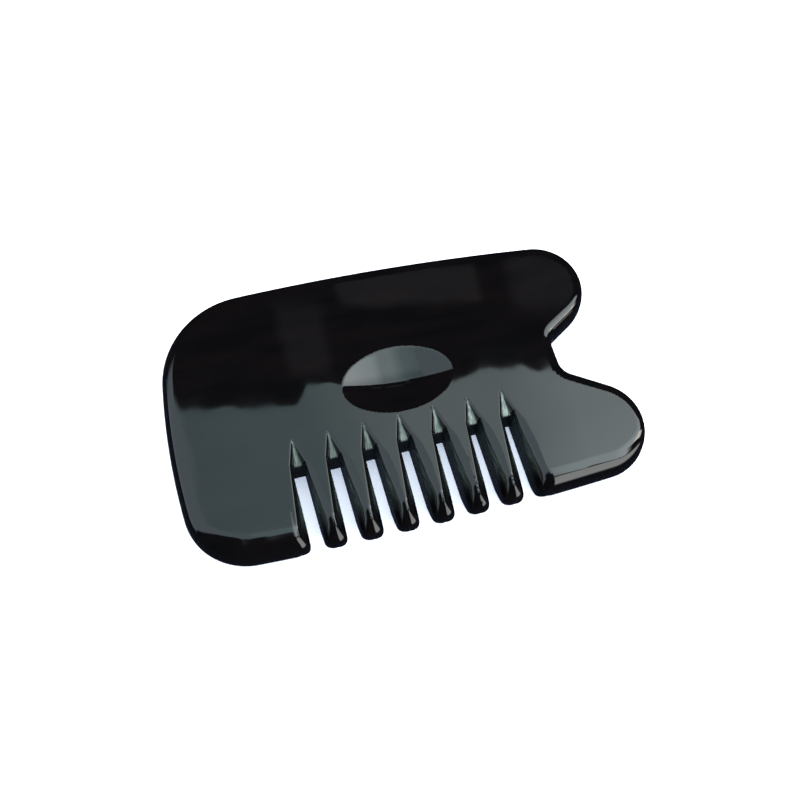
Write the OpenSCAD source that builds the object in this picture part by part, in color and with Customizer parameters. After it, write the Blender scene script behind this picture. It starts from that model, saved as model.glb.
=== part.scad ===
// Beard comb carved from one plate of black horn.
// It lies flat: origin at the centre of its box, on the surface; +X along the row of teeth,
// -Y toward the tips of the teeth, +Z up through the hollowed face.

/* [Plate] */
// Length along the row of teeth
length = 98; // [88:0.5:120]
// Width from the tips of the teeth to the back edge
width = 60.5; // [54:0.5:74]
// Thickness of the plate
thickness = 8.5; // [7:0.1:11]

/* [Outline] */
// How much the bowed back edge has come in where it meets the forked end
back_fall = 3.6; // [1.5:0.1:5]
// Where along the length the back edge reaches furthest
back_peak = -22; // [-26:1:-12]
// Radius of the slightly bowed grip end
bow_r = 150; // [100:5:300]
// Where across the width the grip end reaches furthest
bow_peak = -9; // [-12:1:0]
// How much the bowed line of the tips has come in where it meets the forked end
belly_rise = 0.8; // [0.4:0.1:1.6]
// Where along the length the tips reach furthest
belly_peak = 6; // [0:1:12]
// Corner radius where grip end and back edge meet
shoulder_r = 19.8; // [12:0.1:22]
// Corner radius where grip end and tips meet
heel_r = 13; // [8:0.1:14]
// Radius of the two lobes of the forked end
lobe_r = 10.5; // [8.8:0.1:11.5]
// How much shorter the back lobe is than the front one
lobe_step = 1.3; // [0:0.1:3]

/* [Notch of the forked end] */
// Depth of the notch from the end of the longer lobe
notch_depth = 13.1; // [10:0.1:16]
// Length of the straight bottom of the notch
notch_flat = 4; // [2:0.5:6]
// Corner radius at the bottom of the notch
notch_r = 3.4; // [2.5:0.1:4]
// Where the middle of the notch lies across the width
notch_y = -0.8; // [-3:0.1:2]

/* [Rounded rim] */
// How far the rounding reaches in from the edge at the grip end
rim_roll = 2.2; // [1.6:0.1:4]
// The same at the forked end
rim_roll_fork = 1.6; // [1.2:0.1:3]
// How far it would reach in along the tips of the teeth at the grip end
tip_roll = 4.8; // [3:0.1:7]
// The same at the forked end
tip_roll_fork = 3.2; // [2:0.1:5]
// Slope of the rounding where it meets the flat face, in degrees
crease = 20; // [10:1:24]

/* [Teeth] */
// Number of saw slots
slots = 7; // [5:1:8]
// Distance from one slot to the next
pitch = 7.5; // [6.2:0.1:9]
// Width of a saw slot
slot_w = 2.9; // [2:0.1:3.4]
// Length of a slot, from its root wall to the line of the tips
slot_l = 18.6; // [14:0.1:21]
// Where the middle of the row lies along the length
row_x = -1.8; // [-4:0.1:1]
// Radius of a tooth's tip, seen from above
tip_r = 2.1; // [1:0.1:2.2]

/* [Bevels beside the slots, upper face] */
// How far the bevelled cut runs past the root wall to its point
run_out = 4.9; // [3:0.1:7]
// How far a bevel reaches beside the slot at the root wall
root_bevel = 0.05; // [0:0.05:0.6]
// How far a bevel reaches beside the slot at the line of the tips
mouth_bevel = 2.4; // [1:0.1:3.2]
// Depth of the bevels at the root wall
root_d = 1.9; // [1:0.1:2.4]
// Depth of the bevels at the line of the tips
mouth_d = 4.8; // [3:0.1:5.4]
// How much narrower than the slot the floor of the cut is, on each side
floor_step = 0.7; // [0.2:0.05:0.8]

/* [Thumb dish, upper face] */
// Length of the dish, along the row of teeth
dish_l = 23.6; // [16:0.2:28]
// Width of the dish
dish_w = 14.6; // [10:0.2:18]
// Depth of the dish at its middle
dish_d = 1.5; // [0.8:0.1:2.2]
// Where the middle of the dish lies along the length
dish_x = 0.5; // [-4:0.1:4]
// Gap between the dish and the points of the bevelled cuts
dish_gap = 0.95; // [0.4:0.05:4]

/* [Hidden] */

// Facets: the most that one side turns, its longest run, and the steps of the rounded rim
turn = 6;
run = 7;
rim_steps = 5;
round_fn = 144;
// How far a cutter passes beyond the face that it opens
past = 2;
// The rim has the tips' rounding where it faces within tips_on degrees of the tips, and none of it
// from tips_off degrees
tips_on = 20;
tips_off = 72;
// The rounding starts as a flat chamfer; its round end takes this share of the reach at the plain rim
round_share = 0.8;
// The steepest that the chamfer may be against the round end's height, which keeps the end an ellipse
steepest = 0.45;
// The most of a tooth's width that the corner radius of its tip may take
tip_share = 0.47;

tip_y = -width / 2;
root_y = tip_y + slot_l;
row_l = (slots - 1) * pitch;
tip_round = min(tip_r, tip_share * (pitch - slot_w));
dish_y = root_y + run_out + dish_gap + dish_w / 2;

function from_angle(r, a) = [r * cos(a), r * sin(a)];
function angle_of(v) = atan2(v[1], v[0]);
function smooth(t) = let (u = min(1, max(0, t))) u * u * (3 - 2 * u);

// The two circles about a and b, of radius ra and rb, cross here, on the left going from a to b
function crossing(a, ra, b, rb) =
    let (d = norm(b - a), along = (d * d + ra * ra - rb * rb) / (2 * d))
    a + from_angle(1, angle_of(b - a)) * along
      + from_angle(1, angle_of(b - a) + 90) * sqrt(ra * ra - along * along);

// Points [x, y, normal angle] along an arc from angle a0 to a1; skip leaves out that many at its end
function arc(centre, r, a0, a1, skip = 1) =
    let (
        sweep = a1 - a0,
        n = max(2, ceil(max(abs(sweep) / turn, abs(sweep) * PI / 180 * r / run)))
    )
    [for (i = [0 : n - skip])
        let (a = a0 + sweep * i / n, p = centre + from_angle(r, a))
        [p[0], p[1], a]];

// An inside corner: it turns the other way, so its normals point at its centre
function hollow_arc(centre, r, a0, a1) =
    [for (p = arc(centre, r, a0 + 180, a1 + 180, 0)) [p[0], p[1], p[2] - 180]];

// The lobes, whose rounding is limited by the room between the notch and the long sides
back_room = width / 2 - back_fall - notch_y - notch_flat / 2 - notch_r;
front_room = width / 2 - belly_rise + notch_y - notch_flat / 2 - notch_r;
lobe_round = min(lobe_r, back_room / 2, front_room / 2);
back_lobe_c = [length / 2 - lobe_step - lobe_round, width / 2 - back_fall - lobe_round];
front_lobe_c = [length / 2 - lobe_round, belly_rise + lobe_round - width / 2];

// A side that peaks at [peak, edge] and has come in by fall where it touches a lobe has this radius
function side_r(peak, edge, lobe_c, fall) =
    (pow(lobe_c[0] - peak, 2) + pow(lobe_c[1] - edge, 2) - pow(lobe_round, 2)) / (2 * fall);
back_r = side_r(back_peak, width / 2, back_lobe_c, back_fall);
belly_r = side_r(belly_peak, -width / 2, front_lobe_c, belly_rise);

// Long sides, each an arc that touches the box of the plate at its peak
back_c = [back_peak, width / 2 - back_r];
bow_c = [bow_r - length / 2, bow_peak];
belly_c = [belly_peak, belly_r - width / 2];

// Corners are arcs inside those sides, and touch them
shoulder_c = crossing(back_c, back_r - shoulder_r, bow_c, bow_r - shoulder_r);
heel_c = crossing(bow_c, bow_r - heel_r, belly_c, belly_r - heel_r);

// The notch: two inside corners joined by its straight bottom, and a straight line to each lobe
notch_x = length / 2 - notch_depth;
notch_front_c = [notch_x + notch_r, notch_y - notch_flat / 2];
notch_back_c = [notch_x + notch_r, notch_y + notch_flat / 2];
front_gap = notch_front_c - front_lobe_c;
back_gap = notch_back_c - back_lobe_c;
front_slope = angle_of(front_gap) - acos((lobe_round + notch_r) / norm(front_gap));
back_slope = angle_of(back_gap) + acos((lobe_round + notch_r) / norm(back_gap));

function turn_to(a, low) = a < low ? turn_to(a + 360, low) : a;

outline = concat(
    arc(back_c, back_r, angle_of(back_lobe_c - back_c), angle_of(shoulder_c - back_c)),
    arc(shoulder_c, shoulder_r, angle_of(shoulder_c - back_c), turn_to(angle_of(shoulder_c - bow_c), 0)),
    arc(bow_c, bow_r, turn_to(angle_of(shoulder_c - bow_c), 0), turn_to(angle_of(heel_c - bow_c), 0)),
    arc(heel_c, heel_r, turn_to(angle_of(heel_c - bow_c), 0), turn_to(angle_of(heel_c - belly_c), 0)),
    arc(belly_c, belly_r, turn_to(angle_of(heel_c - belly_c), 0),
        turn_to(angle_of(front_lobe_c - belly_c), 0)),
    arc(front_lobe_c, lobe_round, angle_of(front_lobe_c - belly_c), front_slope, 0),
    hollow_arc(notch_front_c, notch_r, front_slope, 0),
    hollow_arc(notch_back_c, notch_r, 0, back_slope),
    arc(back_lobe_c, lobe_round, back_slope, angle_of(back_lobe_c - back_c))
);

function from_grip(p, grip, fork) = grip + (fork - grip) * (p[0] / length + 0.5);

// The reach of the plain rim, and of the rounding, broader on the tips' side where it faces the tips
function rim(p) = from_grip(p, rim_roll, rim_roll_fork);
function roll(p) =
    let (facing = p[1] > 0 ? 0 : (-sin(p[2]) - cos(tips_off)) / (cos(tips_on) - cos(tips_off)))
    rim(p) + (from_grip(p, tip_roll, tip_roll_fork) - rim(p)) * smooth(facing);

// How far in and how far above mid height the rim is at one step: 0 is mid height, rim_steps the face
function rim_point(p, step) =
    let (
        end = round_share * rim(p),
        high = thickness / 2 - (roll(p) - end) * tan(crease),
        q = min(steepest, tan(crease) * end / high),
        start = asin(q / (1 - q)),
        a = 90 - (90 - start) * step / (rim_steps - 1)
    )
    step == rim_steps ? [roll(p), thickness / 2]
                      : [end * (1 - sin(a)) / (1 - sin(start)), high * cos(a) / cos(start)];

// One level of the rim, from -rim_steps at the lower face to rim_steps at the upper face
function ring(k) =
    [for (p = outline)
        let (r = rim_point(p, abs(k)), q = [p[0], p[1]] - from_angle(r[0], p[2]))
        [q[0], q[1], thickness / 2 + sign(k) * r[1]]];

// The whole plate, with its rim rounded on both faces
module plate() {
    n = len(outline);
    levels = 2 * rim_steps + 1;
    top = n * levels;
    points = concat(
        [for (k = [-rim_steps : rim_steps]) each ring(k)],
        [[0, 0, thickness], [0, 0, 0]]
    );
    faces = concat(
        [for (k = [0 : levels - 2], i = [0 : n - 1])
            let (a = k * n + i, b = k * n + (i + 1) % n)
            each [[a, a + n, b], [b, a + n, b + n]]],
        [for (i = [0 : n - 1]) [top, top - n + (i + 1) % n, top - n + i]],
        [for (i = [0 : n - 1]) [top + 1, i, (i + 1) % n]]
    );
    polyhedron(points, faces);
}

// A saw slot: straight walls from the root, opening round the tips on both sides
module slot_cut() {
    flare = [for (a = [180 : 15 : 270])
        [slot_w / 2 + tip_round, tip_y + tip_round] + from_angle(tip_round, a)];
    right = concat([[slot_w / 2, root_y]], flare, [[pitch / 2, tip_y], [pitch / 2, tip_y - past]]);
    left = [for (i = [len(right) - 1 : -1 : 0]) [-right[i][0], right[i][1]]];
    translate([0, 0, -past])
        linear_extrude(thickness + 2 * past)
            polygon(concat(right, left));
}

// The bevelled cut above a slot: a point on the face, then wider and deeper toward the tips
module bevel_cut() {
    root_w = slot_w + 2 * root_bevel;
    floor_w = slot_w - 2 * floor_step;
    slope_w = 2 * (mouth_bevel - root_bevel) / slot_l;
    slope_d = (mouth_d - root_d) / slot_l;
    beyond = slot_l + past;
    // Sections [y, width at the face, width of the floor, depth], from the root to past the tips
    sections = [
        [root_y, root_w, floor_w, root_d],
        [root_y - beyond, root_w + slope_w * beyond, floor_w, root_d + slope_d * beyond]
    ];
    points = concat(
        [[0, root_y + run_out, thickness]],
        [for (s = sections) each let (
            lean = (s[1] - s[2]) / 2 / s[3],
            wide = s[1] / 2 + lean * past
        ) [
            [-wide, s[0], thickness + past],
            [-s[2] / 2, s[0], thickness - s[3]],
            [s[2] / 2, s[0], thickness - s[3]],
            [wide, s[0], thickness + past]
        ]],
        [[0, root_y + run_out, thickness + past]]
    );
    faces = [
        [0, 9, 1], [0, 1, 2], [0, 2, 3], [0, 3, 4], [0, 4, 9], [9, 4, 1],
        [1, 5, 6], [1, 6, 2], [2, 6, 7], [2, 7, 3], [3, 7, 8], [3, 8, 4], [4, 8, 5], [4, 5, 1],
        [5, 8, 7], [5, 7, 6]
    ];
    polyhedron(points, faces);
}

// The thumb dish: a crowned wheel laid on its side, so its floor curves both ways
module dish_cut() {
    wheel_r = (pow(dish_w / 2, 2) + pow(dish_d, 2)) / (2 * dish_d);
    crown_r = (pow(dish_l / 2, 2) + pow(dish_d, 2)) / (2 * dish_d);
    translate([dish_x, dish_y, thickness + wheel_r - dish_d])
        rotate([0, 90, 0])
            rotate_extrude($fn = round_fn)
                intersection() {
                    translate([wheel_r - crown_r, 0])
                        circle(crown_r, $fn = round_fn);
                    translate([0, -dish_l])
                        square([2 * wheel_r, 2 * dish_l]);
                }
}

module comb() {
    color("#17181a")
        difference() {
            plate();
            for (i = [0 : slots - 1])
                translate([row_x - row_l / 2 + i * pitch, 0, 0]) {
                    slot_cut();
                    bevel_cut();
                }
            dish_cut();
        }
}

comb();
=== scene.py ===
"""Looks for the beard comb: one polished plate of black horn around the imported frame.

The plate is one smooth mesh. Its shape is a field in millimetres, negative inside the horn, built
from the same driving sizes as the CAD model, and polygonised on a grid that is finer at the edges.
"""

import math

import bpy
import numpy as np
from mathutils import Matrix, Vector


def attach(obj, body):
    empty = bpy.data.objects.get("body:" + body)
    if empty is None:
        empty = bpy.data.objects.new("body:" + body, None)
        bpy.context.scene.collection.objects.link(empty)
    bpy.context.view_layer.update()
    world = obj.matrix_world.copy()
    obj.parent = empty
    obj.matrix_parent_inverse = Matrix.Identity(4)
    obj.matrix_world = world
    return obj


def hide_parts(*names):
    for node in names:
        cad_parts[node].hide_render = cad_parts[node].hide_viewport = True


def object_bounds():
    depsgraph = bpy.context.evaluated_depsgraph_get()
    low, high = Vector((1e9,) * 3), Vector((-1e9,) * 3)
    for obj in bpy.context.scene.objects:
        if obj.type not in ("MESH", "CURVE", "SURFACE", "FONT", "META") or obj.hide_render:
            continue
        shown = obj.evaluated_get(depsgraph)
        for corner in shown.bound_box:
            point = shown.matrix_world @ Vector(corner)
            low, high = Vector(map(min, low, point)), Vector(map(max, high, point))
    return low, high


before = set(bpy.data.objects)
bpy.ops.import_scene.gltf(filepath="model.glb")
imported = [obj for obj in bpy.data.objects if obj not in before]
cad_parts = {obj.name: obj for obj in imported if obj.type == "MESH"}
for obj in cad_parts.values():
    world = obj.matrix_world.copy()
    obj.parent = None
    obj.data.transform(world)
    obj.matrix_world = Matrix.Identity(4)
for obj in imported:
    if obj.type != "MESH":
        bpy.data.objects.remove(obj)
cad_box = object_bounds()

MM = 0.001

# ---------------------------------------------------------------- sizes, in millimetres
LENGTH, WIDTH, THICK = (round((high - low) / MM, 1) for low, high in zip(*cad_box))
MID = THICK / 2

# The outline
BACK_FALL, BACK_PEAK = 3.6, -22.0
BOW_R, BOW_PEAK = 150.0, -9.0
BELLY_RISE, BELLY_PEAK = 0.8, 6.0
SHOULDER_R, HEEL_R, LOBE_R, LOBE_STEP = 19.8, 13.0, 10.5, 1.3
NOTCH_DEPTH, NOTCH_FLAT, NOTCH_R, NOTCH_Y = 13.1, 4.0, 3.4, -0.8

# The rolled rim: how far it reaches in at the grip and at the fork, and the same along the tips
RIM_ROLL, RIM_ROLL_FORK = 2.2, 1.6
TIP_ROLL, TIP_ROLL_FORK = 4.8, 3.2
# The slope of its chamfer, the round end's share of the rim and of the roll along the tips, and the
# limit of the round end's first slope
CREASE, ROUND_SHARE, TIP_ROUND, STEEPEST = math.radians(20), 0.8, 0.65, 0.45
# The roll along the tips is whole where the edge faces them within TIPS_ON, and gone at TIPS_OFF
TIPS_ON, TIPS_OFF = math.radians(20), math.radians(72)

# The row of slots
SLOTS, PITCH, SLOT_W, SLOT_L, ROW_X, TIP_R = 7, 7.5, 2.9, 18.6, -1.8, 2.1
TIP_Y = -WIDTH / 2
ROOT_Y = TIP_Y + SLOT_L
ROW_WIDTH = (SLOTS - 1) * PITCH
FIRST_X = ROW_X - ROW_WIDTH / 2

# The bevelled cut above each slot
RUN_OUT = 4.9
ROOT_BEVEL, MOUTH_BEVEL = 0.05, 2.4
ROOT_D, MOUTH_D = 1.9, 4.8
FLOOR_STEP = 0.7

# The thumb dish
DISH_L, DISH_W, DISH_D, DISH_X, DISH_GAP = 23.6, 14.6, 1.5, 0.5, 0.95
DISH_Y = ROOT_Y + RUN_OUT + DISH_GAP + DISH_W / 2
WHEEL_R = ((DISH_W / 2) ** 2 + DISH_D**2) / (2 * DISH_D)
CROWN_R = ((DISH_L / 2) ** 2 + DISH_D**2) / (2 * DISH_D)

# How far polishing has rounded each kind of edge, and how far from the tips it rounds the teeth more
SOFT_RIM, CRISP_RIM, SOFT_RIDGE, SOFT_WALL, SOFT_TIP, SOFT_DISH = 0.35, 0.2, 0.25, 0.2, 1.1, 0.06
TIP_REACH = 7.0
# The teeth's own tips are polished back this much further than the rim beside them
TOOTH_ROLL = 1.3
# The bevels are more worn on the side of each slot toward the fork than on the grip's side. The wear
# starts WEAR_START behind the roots and grows over WEAR_FADE; its side changes over WORN_SHARE of a pitch
WORN_BEVEL, SHARP_BEVEL, TIP_BEVEL = 1.2, 0.45, 1.5
WEAR_START, WEAR_FADE, WORN_SHARE = 1.0, 4.0, 0.25
# Raw cuts: how softly they end, how raw the bevels are, how polished the roots are, and how far below
# the face the bevels are raw
RAW_FADE, BEVEL_RAW, ROOT_POLISH, FACE_GAP = 0.3, 0.9, 0.8, 0.4
# How many fades before an edge each of them starts
WALL_LEAD, ROOT_LEAD, BEVEL_LEAD, GROOVE_LEAD, GROOVE_END_LEAD = 1.0, 2.0, 1.5, 0.7, 0.8

# The mesh's grid: its steps, how far it reaches past the plate, how near to an edge it is fine, the
# share of that reach before the steps grow, and where it is fine behind the roots and under the face
COARSE, COARSE_Z, FINE, MARGIN = 0.55, 0.7, 0.25, 0.6
REACH_X, REACH_Y, REACH_Z, EASE = 2.4, 5.0, 2.0, 0.6
BEHIND_ROOTS, UNDER_FACE = 2.0, 1.0

# Small enough to change nothing: it guards divisions, and joins arcs to lines without a gap
TINY, SEAM = 1e-9, 1e-6
# Farther than anything on the comb, and shallower than any real cut
FAR, SHALLOW = 1e3, 1e-3

# ---------------------------------------------------------------- the horn's looks
HORN_IOR = 1.54
# Noises: their scale per metre, stretched along X, Y and Z and turned in degrees
STREAKS = {"stretch": (60, 260, 260), "turn": (0, 0, 12), "detail": 4.0}
WALL_LINES = {"stretch": (900, 420, 3200), "turn": (32, 0, 0), "detail": 2.0}
FLOOR_LINES = {"stretch": (3800, 620, 620), "detail": 4.0}
SMEARS = {"scale": 90.0}
WAVES = {"scale": 85.0, "detail": 1.0}
# Colours, and the polish's roughness, as (noise, value)
POLISHED = [(0.4, (0.0012, 0.0012, 0.0015)), (0.75, (0.0025, 0.0018, 0.0019))]
SAWN = [(0.35, (0.008, 0.013, 0.013)), (0.72, (0.040, 0.056, 0.053))]
# The next two are the run-outs' floors: the first plain, the second dust with a painted sheen
FLOOR_PLAIN = [(0.38, (0.022, 0.034, 0.031)), (0.72, (0.085, 0.115, 0.105))]
FLOOR_DUST_AND_SHEEN = [(0.38, (0.045, 0.066, 0.060)), (0.72, (0.30, 0.37, 0.345))]
SMEARED = [(0.3, (0.012, 0.012, 0.012)), (0.7, (0.045, 0.045, 0.045))]
WALL_ROUGH, GROOVE_ROUGH = 0.22, 0.55
# The run-outs' floors are plain toward the grip, and toward the fork dusty and painted lighter as a painted
# sheen; they change around the x given next, over the fade after it
SHEEN_X, SHEEN_FADE = 6.0, 44.0
# Heights of the face's waves and of the saw's scores, and how strongly the scores show
WAVE_HEIGHT, SCORE_HEIGHT, SCORED = 0.03, 0.12, 0.6

# ---------------------------------------------------------------- the studio, in metres
PAPER, PAPER_ROUGH, PAPER_GLOW = (0.86, 0.86, 0.86, 1), 0.9, (0.24, 0.30, 0.42, 1)
PAPER_REACH, PAPER_DROP = 1.5, 0.0001
FILL_POWER, FILL_SIZE, FILL_HEIGHT = 19.0, 1.6, 0.5
# What the polish mirrors where no light is, above the horizon and below it
ROOM_GLOW, LOW_GLOW, HORIZON_SOFT = (0.010, 0.010, 0.013), (0.022, 0.028, 0.046, 1), 0.04

# A sheet of light overhead ends toward the back in a wavy edge. "lean" counts toward the back across
# the sheet, which is turned and tilted. Past STEP_X the edge steps back, further as x grows
SHEET_TURN, SHEET_TILT, SHEET_END = 0.23, 0.4707, 0.006
STEP_X, STEP_FADE, STEP_SIZE, STEP_GROWTH = 0.098, 0.018, 0.010, 0.07
WAVER, WAVER_SCALE, WAVER_DETAIL = 0.014, 38.0, 2.0
# The sheet's colours, as (x, colour) in a range of x, and its gain toward the teeth: from NEAR_Y on,
# over NEAR_REACH at most
SHEET_LOW, SHEET_HIGH = -0.1, 0.7
SHEET = [
    (-0.02, (0.84, 1.15, 1.22)),
    (0.10, (1.00, 1.37, 1.42)),
    (0.19, (1.75, 2.10, 2.12)),
    (0.27, (1.75, 2.10, 2.15)),
    (0.33, (2.55, 3.00, 3.10)),
    (0.50, (3.3, 3.6, 3.7)),
]
NEAR_Y, NEAR_REACH, NEAR_GAIN = 0.33, 0.17, 2.8
# The edges of a light: along which way it starts, where and how softly. It ends there instead where
# the softness is negative. x, y and z are the direction's, and "behind" counts from the sheet's edge
SHEET_EDGES = [("behind", 0.0, -0.002), ("y", -0.368, 0.02), ("x", 0.60, -0.04), ("x", -0.014, 0.01)]
WINDOW_BLUE, WINDOW_WHITE, LAMP_WARM = (1.15, 1.45, 1.62), (4.0, 4.1, 4.0), (8.5, 8.0, 6.9)
DIM_WIDE, DIM_SMALL, DIM_BLUE = (0.15, 0.15, 0.155), (0.10, 0.10, 0.105), (0.12, 0.125, 0.14)
LIGHTS = [
    # The left window, beside the sheet and further round
    (WINDOW_BLUE, [("x", -0.014, -0.01), ("x", -0.21, 0.02), ("y", -0.3, 0.15), ("behind", 0.0, -0.02)]),
    (WINDOW_BLUE, [("x", -0.21, -0.02), ("y", -0.1, 0.15), ("y", 0.56, -0.1)]),
    # The window at the front right
    (WINDOW_WHITE, [("x", 0.30, 0.03), ("y", -0.42, -0.1), ("z", 0.12, 0.3)]),
    # A narrow warm lamp on the right
    (LAMP_WARM, [("x", 0.57, 0.02), ("x", 0.68, -0.02), ("y", -0.12, 0.02), ("y", 0.12, -0.02)]),
    # Dim panels in the dark behind the sheet
    (DIM_WIDE, [("lean", 0.108, 0.01), ("lean", 0.145, -0.01), ("x", 0.148, 0.01), ("x", 0.27, -0.01)]),
    (DIM_SMALL, [("lean", 0.035, 0.03), ("lean", 0.105, -0.03), ("x", 0.088, 0.012), ("x", 0.128, -0.012)]),
    (DIM_BLUE, [("lean", 0.10, 0.03), ("lean", 0.15, -0.02), ("x", 0.30, 0.02), ("x", 0.37, -0.02)]),
]

# The camera: its direction and roll in degrees, then lengths in millimetres
CAMERA_AZIMUTH, CAMERA_ELEVATION, CAMERA_ROLL = -24.83, 64.46, 9.42
CAMERA_DISTANCE, AIM_X, AIM_Y, LENS, SENSOR, CLIP = 228.6, -0.44, -3.34, 49.4, 36, 10


# ---------------------------------------------------------------- small maths
def smooth(t):
    """Eases from 0 to 1 as t goes from 0 to 1."""
    t = np.clip(t, 0.0, 1.0)
    return t * t * (3 - 2 * t)


def both(a, b, soft):
    """The shape inside a and b, with its edge rounded over about soft."""
    blend = np.maximum(soft - np.abs(a - b), 0) / soft
    return np.maximum(a, b) + soft * blend * blend / 4


def rounded_both(a, b, r):
    """The shape inside a and b, with a round edge of radius r."""
    outside = np.hypot(np.maximum(a + r, 0), np.maximum(b + r, 0))
    return np.minimum(np.maximum(a, b), -r) + outside


# ---------------------------------------------------------------- the outline
def crossing(a, ra, b, rb):
    """Where the circles about a and b meet, on the left going from a to b."""
    gap = b - a
    d = np.hypot(*gap)
    along = (d * d + ra * ra - rb * rb) / (2 * d)
    u = gap / d
    return a + u * along + np.array([-u[1], u[0]]) * math.sqrt(ra * ra - along * along)


def heading(v):
    """The angle of a vector from +X."""
    return math.atan2(v[1], v[0])


def unit(angle):
    """The unit vector at an angle from +X."""
    return np.array([math.cos(angle), math.sin(angle)])


def side_radius(peak, edge, lobe, fall):
    """Radius of a long side that touches the line y = edge at x = peak and then the lobe's circle."""
    return ((lobe[0] - peak) ** 2 + (lobe[1] - edge) ** 2 - LOBE_R**2) / (2 * fall)


def outline():
    """Arcs (centre, radius, first angle, sweep, +1 or -1 for an inside corner) and lines (start, end)."""
    half_l, half_w = LENGTH / 2, WIDTH / 2
    back_lobe = np.array([half_l - LOBE_STEP - LOBE_R, half_w - BACK_FALL - LOBE_R])
    front_lobe = np.array([half_l - LOBE_R, BELLY_RISE + LOBE_R - half_w])
    back_r = side_radius(BACK_PEAK, half_w, back_lobe, BACK_FALL)
    belly_r = side_radius(BELLY_PEAK, -half_w, front_lobe, BELLY_RISE)
    back = np.array([BACK_PEAK, half_w - back_r])
    bow = np.array([BOW_R - half_l, BOW_PEAK])
    belly = np.array([BELLY_PEAK, belly_r - half_w])
    shoulder = crossing(back, back_r - SHOULDER_R, bow, BOW_R - SHOULDER_R)
    heel = crossing(bow, BOW_R - HEEL_R, belly, belly_r - HEEL_R)
    notch_x = half_l - NOTCH_DEPTH + NOTCH_R
    notch_front = np.array([notch_x, NOTCH_Y - NOTCH_FLAT / 2])
    notch_back = np.array([notch_x, NOTCH_Y + NOTCH_FLAT / 2])
    front_gap, back_gap = notch_front - front_lobe, notch_back - back_lobe
    front_slope = heading(front_gap) - math.acos((LOBE_R + NOTCH_R) / np.hypot(*front_gap))
    back_slope = heading(back_gap) + math.acos((LOBE_R + NOTCH_R) / np.hypot(*back_gap))

    def convex(centre, r, start, end):
        """An arc that bulges outward, from its first angle to its last."""
        return centre, r, start, (end - start) % (2 * math.pi), 1

    arcs = [
        convex(back, back_r, heading(back_lobe - back), heading(shoulder - back)),
        convex(shoulder, SHOULDER_R, heading(shoulder - back), heading(shoulder - bow)),
        convex(bow, BOW_R, heading(shoulder - bow), heading(heel - bow)),
        convex(heel, HEEL_R, heading(heel - bow), heading(heel - belly)),
        convex(belly, belly_r, heading(heel - belly), heading(front_lobe - belly)),
        convex(front_lobe, LOBE_R, heading(front_lobe - belly), front_slope),
        (notch_front, NOTCH_R, math.pi, front_slope, -1),
        (notch_back, NOTCH_R, math.pi + back_slope, -back_slope, -1),
        convex(back_lobe, LOBE_R, back_slope, heading(back_lobe - back)),
    ]
    across = np.array([NOTCH_R, 0.0])
    lines = [
        (front_lobe + LOBE_R * unit(front_slope), notch_front - NOTCH_R * unit(front_slope)),
        (notch_front - across, notch_back - across),
        (notch_back - NOTCH_R * unit(back_slope), back_lobe + LOBE_R * unit(back_slope)),
    ]
    return arcs, lines


ARCS, LINES = outline()


def from_outline(x, y):
    """Signed distance to the outline, negative inside, and how much the nearest edge faces the tips."""
    best = np.full(np.broadcast(x, y).shape, np.inf)
    signed, facing = np.zeros_like(best), np.zeros_like(best)

    def keep(distance, side, toward_tips, valid):
        nonlocal best, signed, facing
        nearer = valid & (distance < best)
        best = np.where(nearer, distance, best)
        signed = np.where(nearer, side, signed)
        facing = np.where(nearer, toward_tips, facing)

    for centre, r, start, sweep, way in ARCS:
        dx, dy = x - centre[0], y - centre[1]
        d = np.hypot(dx, dy) + TINY
        turned = (np.arctan2(dy, dx) - start) % (2 * math.pi)
        keep(np.abs(d - r), way * (d - r), -way * dy / d, turned <= sweep + SEAM)
    for a, b in LINES:
        run = np.hypot(*(b - a))
        ux, uy = (b - a) / run
        dx, dy = x - a[0], y - a[1]
        along, side = dx * ux + dy * uy, dx * uy - dy * ux
        keep(np.abs(side), side, np.full_like(best, ux), (along >= 0) & (along <= run))
    return signed, np.where(y < 0, facing, 0)


# ---------------------------------------------------------------- the horn as a field
def slot_offsets(x):
    """Distances from x to the centre lines of the two nearest slots."""
    place = (x - FIRST_X) / PITCH
    nearest = np.clip(np.round(place), 0, SLOTS - 1)
    other = np.where(place > nearest, nearest + 1, nearest - 1)
    far = np.where((other < 0) | (other > SLOTS - 1), FAR, 0)
    return np.abs(place - nearest) * PITCH, np.abs(place - other) * PITCH + far


def plate(s, facing, x, z):
    """The plate with its rolled rim, a flat chamfer and a round end; s is the signed distance."""
    from_grip = x / LENGTH + 0.5
    near_tips = smooth((facing - math.cos(TIPS_OFF)) / (math.cos(TIPS_ON) - math.cos(TIPS_OFF)))
    rim = RIM_ROLL + (RIM_ROLL_FORK - RIM_ROLL) * from_grip
    teeth = TOOTH_ROLL * smooth((ROW_WIDTH / 2 - np.abs(x - ROW_X)) / SLOT_W + 0.5)
    roll = rim + (TIP_ROLL + (TIP_ROLL_FORK - TIP_ROLL) * from_grip + teeth - rim) * near_tips
    end = ROUND_SHARE * rim
    end = end + (TIP_ROUND * roll - end) * near_tips
    high = MID - (roll - end) * math.tan(CREASE)
    # The round end is part of an ellipse, from where it is as steep as the chamfer to the widest line
    steepness = np.minimum(STEEPEST, math.tan(CREASE) * end / high)
    start = np.arcsin(steepness / (1 - steepness))
    a, b = end / (1 - np.sin(start)), high / np.cos(start)
    out, up = np.maximum(a + s, 0), np.abs(z - MID)
    reach = np.sqrt((out / a) ** 2 + (up / b) ** 2) + TINY
    slope = np.sqrt((out / a**2) ** 2 + (up / b**2) ** 2) + TINY
    chamfer = (s + end) * math.sin(CREASE) + (up - high) * math.cos(CREASE)
    edge = np.where(s < -end, chamfer, (reach - 1) * reach / slope)
    return both(edge, up - MID, SOFT_RIM + (CRISP_RIM - SOFT_RIM) * near_tips)


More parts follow.
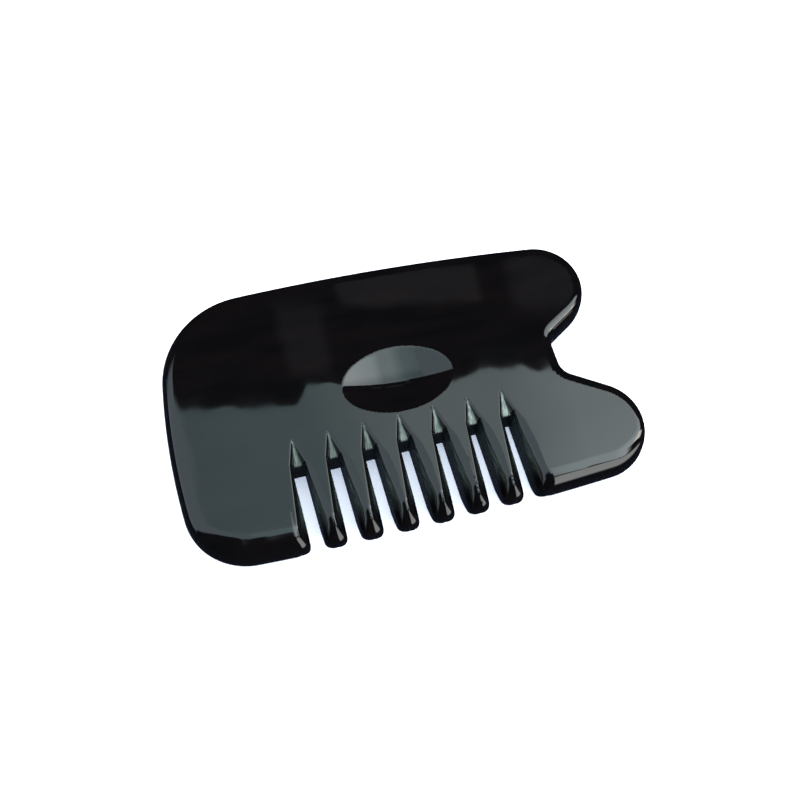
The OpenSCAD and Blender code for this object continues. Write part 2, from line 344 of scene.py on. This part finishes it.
def slot_wall(offset, y, s):
    """Positive in a slot; the corners at its mouth are rounded like the tips."""
    inside = np.minimum(SLOT_W / 2 - offset, ROOT_Y - y)
    solid_side = np.maximum(-inside - (PITCH - SLOT_W) / 2, 0)
    return rounded_both(inside, s, TIP_R) - solid_side


def bevel_section(y):
    """Half width at the face, half width of the floor and depth of the bevelled cut at y."""
    past_root = np.maximum(ROOT_Y - y, 0) / SLOT_L
    taper = np.clip((ROOT_Y + RUN_OUT - y) / RUN_OUT, 0, 1)
    face = (SLOT_W / 2 + ROOT_BEVEL + (MOUTH_BEVEL - ROOT_BEVEL) * past_root) * taper
    floor = (SLOT_W / 2 - FLOOR_STEP) * taper
    depth = (ROOT_D + (MOUTH_D - ROOT_D) * past_root) * taper
    return face, floor, depth


def bevel_cut(offset, y, z):
    """Positive in the bevelled cut above a slot: its sides, its floor."""
    face, floor, depth = bevel_section(y)
    rise = z - (THICK - depth)
    lean = (face - floor) / np.maximum(depth, SHALLOW)
    side = (floor + rise * lean - offset) / np.sqrt(1 + lean * lean)
    before = ROOT_Y + RUN_OUT - y
    return np.minimum(side, before), rise


def dish_cut(x, y, z):
    """Positive in the thumb dish."""
    across = x - DISH_X
    radius = WHEEL_R - CROWN_R + np.sqrt(np.maximum(CROWN_R**2 - across**2, 0))
    return radius - np.hypot(y - DISH_Y, z - (THICK + WHEEL_R - DISH_D))


def horn(x, y, z):
    """The whole comb: negative inside the horn."""
    s, facing = from_outline(x, y)
    solid = plate(s, facing, x, z)
    fork_side = np.mod((x - FIRST_X) / PITCH + 0.5, 1) - 0.5
    worn = smooth(fork_side / WORN_SHARE + 0.5) * smooth((ROOT_Y + WEAR_START - y) / WEAR_FADE)
    near_tip = smooth((TIP_Y + TIP_REACH - y) / TIP_REACH)
    wall_edge = SOFT_WALL + (SOFT_TIP - SOFT_WALL) * near_tip
    bevel_edge = SHARP_BEVEL + (WORN_BEVEL - SHARP_BEVEL) * worn
    bevel_edge = bevel_edge + (TIP_BEVEL - bevel_edge) * near_tip
    for offset in slot_offsets(x):
        side, rise = bevel_cut(offset, y, z)
        solid = both(solid, -both(-side, -rise, SOFT_RIDGE), bevel_edge)
        solid = both(solid, slot_wall(offset, y, s), wall_edge)
    return both(solid, dish_cut(x, y, z), SOFT_DISH)


def fade(beyond, lead=0.5):
    """From 0 to 1 over RAW_FADE, starting lead times that width before the edge."""
    return smooth(beyond / RAW_FADE + lead)


def raw_cuts(x, y, z):
    """How much the surface is a saw cut's wall, and how much the floor of a run-out, from 0 to 1."""
    offset = slot_offsets(x)[0]
    inside = np.minimum(SLOT_W / 2 - offset, ROOT_Y - y)
    _, floor, depth = bevel_section(y)
    side, _ = bevel_cut(offset, y, z)
    wall = fade(inside, WALL_LEAD) * fade(THICK - depth - z)
    wall = wall * (1 - ROOT_POLISH * fade(y - ROOT_Y, ROOT_LEAD))
    bevel = BEVEL_RAW * fade(-np.abs(side), BEVEL_LEAD) * smooth(THICK - FACE_GAP - z) * (y < ROOT_Y)
    wall = np.maximum(wall, bevel) * smooth((y - TIP_Y) / TIP_REACH - 0.5)
    groove = fade(floor - offset, GROOVE_LEAD) * fade(y - ROOT_Y, GROOVE_END_LEAD)
    return wall, groove * (y < ROOT_Y + RUN_OUT) * (z > THICK - ROOT_D - RAW_FADE)


# ---------------------------------------------------------------- the mesh
def grid_line(low, high, coarse, edges, reach):
    """Positions from low to high, fine within reach of an edge and coarse between."""
    line = [low]
    while line[-1] < high:
        near = np.min(np.abs(line[-1] - np.array(edges)))
        line.append(line[-1] + FINE + (coarse - FINE) * float(smooth(near / reach - EASE)))
    return np.array(line)


def grid_lines():
    """The grid's positions along X, Y and Z."""
    centres = FIRST_X + PITCH * np.arange(SLOTS)
    walls = [*(centres - SLOT_W / 2), *(centres + SLOT_W / 2)]
    half_l, half_w = LENGTH / 2 + MARGIN, WIDTH / 2 + MARGIN
    across = [-half_w, half_w, ROOT_Y, ROOT_Y + BEHIND_ROOTS, DISH_Y]
    return (
        grid_line(-half_l, half_l, COARSE, [-half_l, half_l, *walls], REACH_X),
        grid_line(-half_w, half_w, COARSE, across, REACH_Y),
        grid_line(-MARGIN, THICK + MARGIN, COARSE_Z, [0, THICK - UNDER_FACE, THICK], REACH_Z),
    )


def settle(points, field, steps=5, most=0.25, nudge=0.01, gentlest=0.05):
    """Moves points onto the surface of the field; returns them with the surface's normals."""
    for _ in range(steps):
        value = field(*points.T)
        slope = np.stack([
            field(*(points + nudge * axis).T) - field(*(points - nudge * axis).T)
            for axis in np.eye(3)
        ], axis=1) / (2 * nudge)
        steep = np.maximum(np.sum(slope * slope, axis=1), gentlest)
        move = -(value / steep)[:, None] * slope
        size = np.linalg.norm(move, axis=1, keepdims=True)
        points = points + move * np.minimum(1, most / np.maximum(size, TINY))
    return points, slope / np.linalg.norm(slope, axis=1, keepdims=True)


def cell_points(lines, values):
    """For each grid cell, the sum and the number of the places where the surface crosses its edges."""
    inside = values < 0
    shape = tuple(n - 1 for n in values.shape)
    total, count = np.zeros((*shape, 3)), np.zeros(shape)
    for axis in range(3):
        low, high = [slice(None)] * 3, [slice(None)] * 3
        low[axis], high[axis] = slice(None, -1), slice(1, None)
        a, b = values[tuple(low)], values[tuple(high)]
        crossed = inside[tuple(low)] != inside[tuple(high)]
        share = np.where(crossed, a / np.where(crossed, a - b, 1), 0)
        starts = [lines[k][:-1] if k == axis else lines[k] for k in range(3)]
        place = np.meshgrid(*starts, indexing="ij")
        step = np.diff(lines[axis]).reshape([-1 if k == axis else 1 for k in range(3)])
        place[axis] = place[axis] + share * step
        u, v = [k for k in range(3) if k != axis]
        for i, j in ((0, 0), (0, 1), (1, 0), (1, 1)):
            cut = [slice(None)] * 3
            cut[u], cut[v] = slice(i, i + shape[u]), slice(j, j + shape[v])
            here = crossed[tuple(cut)]
            count += here
            for k in range(3):
                total[..., k] += np.where(here, place[k][tuple(cut)], 0)
    return total, count


def cell_quads(inside, number):
    """Quads round each grid edge that the surface crosses, facing outward, from the cells' vertices."""
    quads = []
    for axis in range(3):
        u, v = [k for k in range(3) if k != axis]
        low, high = [slice(1, -1)] * 3, [slice(1, -1)] * 3
        low[axis], high[axis] = slice(None, -1), slice(1, None)
        a, b = inside[tuple(low)], inside[tuple(high)]
        at = np.argwhere(a != b)
        at[:, u] += 1
        at[:, v] += 1
        ring = []
        for du, dv in ((-1, -1), (0, -1), (0, 0), (-1, 0)):
            cell = at.copy()
            cell[:, u] += du
            cell[:, v] += dv
            ring.append(number[tuple(cell.T)])
        ring = np.stack(ring, axis=1)
        # Round an edge along Y the ring runs the other way
        outward = a[a != b] != (axis == 1)
        ring[~outward] = ring[~outward][:, ::-1]
        quads.append(ring)
    return np.concatenate(quads)


def surface_net(lines, field):
    """Vertices and quads of the field's surface: one vertex in each grid cell that it crosses."""
    values = field(*np.meshgrid(*lines, indexing="ij", sparse=True))
    total, count = cell_points(lines, values)
    used = count > 0
    number = np.full(count.shape, -1)
    number[used] = np.arange(used.sum())
    return total[used] / count[used][:, None], cell_quads(values < 0, number)


def make_comb(material):
    """The comb's plate as one smooth mesh, with its polished normals and its raw cuts marked."""
    points, quads = surface_net(grid_lines(), horn)
    points, normals = settle(points, horn)
    mesh = bpy.data.meshes.new("horn_plate")
    mesh.from_pydata((points * MM).tolist(), [], quads.tolist())
    mesh.validate()
    mesh.shade_smooth()
    mesh.normals_split_custom_set_from_vertices(normals.tolist())
    for name, share in zip(("sawn_wall", "sawn_floor"), raw_cuts(*points.T)):
        mesh.attributes.new(name, "FLOAT", "POINT").data.foreach_set("value", share.astype(np.float32))
    mesh.materials.append(material)
    comb = bpy.data.objects.new("horn_plate", mesh)
    bpy.context.scene.collection.objects.link(comb)
    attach(comb, "root")
    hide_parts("comb")
    print("horn_plate", len(points), "vertices", len(quads), "faces")
    return comb


# ---------------------------------------------------------------- shader nodes
def add(tree, kind, **settings):
    """A shader node, with inputs and properties set by name."""
    node = tree.nodes.new(kind)
    for name, value in settings.items():
        if name in node.inputs:
            node.inputs[name].default_value = value
        else:
            setattr(node, name, value)
    return node


def put(tree, socket, value):
    """Links another node's socket to this one, or sets its value."""
    if isinstance(value, bpy.types.NodeSocket):
        tree.links.new(value, socket)
    else:
        socket.default_value = value


def calc(tree, operation, *values):
    """A math node on sockets or numbers."""
    node = add(tree, "ShaderNodeMath", operation=operation)
    for socket, value in zip(node.inputs, values):
        put(tree, socket, value)
    return node.outputs[0]


def past(tree, value, edge, soft):
    """0 below the edge and 1 above it, or the other way round if soft is negative."""
    node = add(tree, "ShaderNodeMapRange", interpolation_type="SMOOTHSTEP")
    tree.links.new(calc(tree, "SUBTRACT", value, edge), node.inputs["Value"])
    node.inputs["From Min"].default_value = -soft / 2
    node.inputs["From Max"].default_value = soft / 2
    return node.outputs["Result"]


def ramp(tree, value, stops, low=0.0, high=1.0):
    """A colour ramp from low to high; the stops are (value, colour)."""
    reach = add(tree, "ShaderNodeMapRange")
    tree.links.new(value, reach.inputs["Value"])
    reach.inputs["From Min"].default_value = low
    reach.inputs["From Max"].default_value = high
    node = add(tree, "ShaderNodeValToRGB")
    tree.links.new(reach.outputs["Result"], node.inputs["Fac"])
    for i, (at, colour) in enumerate(stops):
        spot = (at - low) / (high - low)
        stop = node.color_ramp.elements[i] if i < 2 else node.color_ramp.elements.new(spot)
        stop.position = spot
        stop.color = (*colour, 1)
    return node.outputs["Color"]


def noise(tree, place, scale=1.0, stretch=(1, 1, 1), turn=(0, 0, 0), detail=3.0):
    """Noise at scale per metre, stretched and turned."""
    layout = add(tree, "ShaderNodeMapping", Scale=stretch)
    layout.inputs["Rotation"].default_value = [math.radians(a) for a in turn]
    tree.links.new(place, layout.inputs["Vector"])
    node = add(tree, "ShaderNodeTexNoise", Scale=scale, Detail=detail)
    tree.links.new(layout.outputs["Vector"], node.inputs["Vector"])
    return node.outputs["Fac"]


def mix(tree, share, a, b, data_type="RGBA"):
    """a where share is 0 and b where it is 1."""
    node = add(tree, "ShaderNodeMix", data_type=data_type)
    first, result = {"FLOAT": (2, 0), "RGBA": (6, 2)}[data_type]
    put(tree, node.inputs[0], share)
    put(tree, node.inputs[first], a)
    put(tree, node.inputs[first + 1], b)
    return node.outputs[result]


# ---------------------------------------------------------------- material
def groove_colour(tree, place, floor_lines):
    """The run-outs' floors: scratched along the cut, plain toward the grip, dusty toward the fork and
    painted lighter there as a painted sheen.
    """
    parts = add(tree, "ShaderNodeSeparateXYZ")
    tree.links.new(place, parts.inputs["Vector"])
    # Toward the fork the floor is painted lighter: a painted sheen
    sheen = past(tree, parts.outputs["X"], SHEEN_X * MM, SHEEN_FADE * MM)
    return mix(tree, sheen, ramp(tree, floor_lines, FLOOR_PLAIN), ramp(tree, floor_lines, FLOOR_DUST_AND_SHEEN))


def horn_material():
    """Polished near-black horn; raw saw cuts are duller, the walls dark and the run-outs dusty, with a
    painted sheen toward the fork.
    """
    material = bpy.data.materials.new("black_horn")
    material.use_nodes = True
    tree = material.node_tree
    link = tree.links.new
    shader = tree.nodes["Principled BSDF"]
    shader.inputs["IOR"].default_value = HORN_IOR
    place = add(tree, "ShaderNodeTexCoord").outputs["Object"]
    wall = add(tree, "ShaderNodeAttribute", attribute_name="sawn_wall").outputs["Fac"]
    floor = add(tree, "ShaderNodeAttribute", attribute_name="sawn_floor").outputs["Fac"]
    raw = calc(tree, "MAXIMUM", wall, floor)

    # Growth streaks, brown-black in blue-black; saw lines lean across the walls
    wall_lines = noise(tree, place, **WALL_LINES)
    floor_lines = noise(tree, place, **FLOOR_LINES)
    polished = ramp(tree, noise(tree, place, **STREAKS), POLISHED)
    plate_colour = mix(tree, wall, polished, ramp(tree, wall_lines, SAWN))
    colour = mix(tree, floor, plate_colour, groove_colour(tree, place, floor_lines))
    link(colour, shader.inputs["Base Color"])

    # Polish: very smooth, with faint smears
    smears = ramp(tree, noise(tree, place, **SMEARS), SMEARED)
    dull = mix(tree, floor, WALL_ROUGH, GROOVE_ROUGH, "FLOAT")
    link(mix(tree, raw, smears, dull, "FLOAT"), shader.inputs["Roughness"])

    # Relief: the hand-polished face waves a little, and the raw cuts are scored
    waves = add(tree, "ShaderNodeBump", Strength=1.0, Distance=WAVE_HEIGHT * MM)
    link(noise(tree, place, **WAVES), waves.inputs["Height"])
    scores = add(tree, "ShaderNodeBump", Distance=SCORE_HEIGHT * MM)
    link(calc(tree, "MULTIPLY", raw, SCORED), scores.inputs["Strength"])
    link(mix(tree, floor, wall_lines, floor_lines, "FLOAT"), scores.inputs["Height"])
    link(waves.outputs["Normal"], scores.inputs["Normal"])
    link(scores.outputs["Normal"], shader.inputs["Normal"])
    return material


# ---------------------------------------------------------------- the studio
def make_floor():
    """A white sheet of paper that glows a little, so that the shadows on it stay pale and bluish."""
    material = bpy.data.materials.new("floor_white")
    material.use_nodes = True
    shader = material.node_tree.nodes["Principled BSDF"]
    shader.inputs["Base Color"].default_value = PAPER
    shader.inputs["Roughness"].default_value = PAPER_ROUGH
    shader.inputs["Specular IOR Level"].default_value = 0.0
    shader.inputs["Emission Color"].default_value = PAPER_GLOW
    shader.inputs["Emission Strength"].default_value = 1.0
    mesh = bpy.data.meshes.new("floor")
    r = PAPER_REACH
    mesh.from_pydata([(-r, -r, 0), (r, -r, 0), (r, r, 0), (-r, r, 0)], [], [(0, 1, 2, 3)])
    mesh.materials.append(material)
    floor = bpy.data.objects.new("floor", mesh)
    bpy.context.scene.collection.objects.link(floor)
    floor.location.z = -PAPER_DROP
    floor.visible_glossy = False


def make_fill():
    """A large soft lamp straight above, for the floor and the raw cuts; polish does not mirror it."""
    data = bpy.data.lights.new("fill", "AREA")
    data.size = FILL_SIZE
    data.energy = FILL_POWER
    fill = bpy.data.objects.new("fill", data)
    bpy.context.scene.collection.objects.link(fill)
    fill.location = (0, 0, FILL_HEIGHT)
    fill.visible_glossy = False


def ways(tree):
    """How far a direction lies along each of the ways that the lights' edges count in."""
    parts = add(tree, "ShaderNodeSeparateXYZ")
    place = add(tree, "ShaderNodeTexCoord").outputs["Generated"]
    tree.links.new(place, parts.inputs["Vector"])
    x, y, z = parts.outputs
    waver = add(tree, "ShaderNodeTexNoise", Scale=WAVER_SCALE, Detail=WAVER_DETAIL)
    tree.links.new(place, waver.inputs["Vector"])
    waver = calc(tree, "MULTIPLY", calc(tree, "SUBTRACT", waver.outputs["Fac"], 0.5), WAVER)
    lean = calc(tree, "ADD", y, calc(tree, "MULTIPLY", x, SHEET_TURN))
    lean = calc(tree, "SUBTRACT", lean, calc(tree, "MULTIPLY", z, SHEET_TILT))
    rise = calc(tree, "MULTIPLY_ADD", x, STEP_GROWTH, STEP_SIZE)
    edge = calc(tree, "MULTIPLY_ADD", past(tree, x, STEP_X, STEP_FADE), rise, SHEET_END)
    behind = calc(tree, "SUBTRACT", lean, calc(tree, "ADD", edge, waver))
    return {"x": x, "y": y, "z": z, "lean": lean, "behind": behind}


def light(tree, along, total, colour, edges, strength=1.0):
    """The total with one more source: a colour, or a socket's colours, inside its soft edges."""
    for way, at, soft in edges:
        strength = calc(tree, "MULTIPLY", strength, past(tree, along[way], at, soft))
    scaled = add(tree, "ShaderNodeVectorMath", operation="SCALE")
    put(tree, scaled.inputs[0], colour)
    put(tree, scaled.inputs["Scale"], strength)
    sum_up = add(tree, "ShaderNodeVectorMath", operation="ADD")
    put(tree, sum_up.inputs[0], scaled.outputs[0])
    put(tree, sum_up.inputs[1], total)
    return sum_up.outputs[0]


def make_world():
    """A dark room seen by direction: a sheet of light overhead, windows, a lamp and dim panels."""
    world = bpy.data.worlds.new("studio")
    world.use_nodes = True
    tree = world.node_tree
    along = ways(tree)
    near = calc(tree, "MAXIMUM", calc(tree, "SUBTRACT", NEAR_Y, along["y"]), 0.0)
    gain = calc(tree, "MULTIPLY_ADD", calc(tree, "MINIMUM", near, NEAR_REACH), NEAR_GAIN, 1.0)
    sheet = ramp(tree, along["x"], SHEET, SHEET_LOW, SHEET_HIGH)
    total = light(tree, along, ROOM_GLOW, sheet, SHEET_EDGES, gain)
    for colour, edges in LIGHTS:
        total = light(tree, along, total, colour, edges)
    # Below the horizon polish mirrors the floor as dim and blue
    total = mix(tree, past(tree, along["z"], 0.0, HORIZON_SOFT), LOW_GLOW, total)
    tree.links.new(total, tree.nodes["Background"].inputs["Color"])
    bpy.context.scene.world = world


def make_camera():
    """Looks down at the comb from the front left, close, with a slight tilt."""
    azimuth, elevation, roll = map(math.radians, (CAMERA_AZIMUTH, CAMERA_ELEVATION, CAMERA_ROLL))
    aim = Vector((AIM_X, AIM_Y, THICK)) * MM
    toward = Vector((
        -math.sin(azimuth) * math.cos(elevation),
        math.cos(azimuth) * math.cos(elevation),
        -math.sin(elevation),
    ))
    data = bpy.data.cameras.new("camera")
    data.lens, data.sensor_width = LENS, SENSOR
    data.clip_start = CLIP * MM
    camera = bpy.data.objects.new("camera", data)
    bpy.context.scene.collection.objects.link(camera)
    turn = toward.to_track_quat("-Z", "Y").to_matrix() @ Matrix.Rotation(roll, 3, "Z")
    camera.matrix_world = Matrix.Translation(aim - toward * CAMERA_DISTANCE * MM) @ turn.to_4x4()
    bpy.context.scene.camera = camera


bpy.context.scene.view_settings.view_transform = "Standard"
make_camera()
make_world()
make_floor()
make_fill()
make_comb(horn_material())
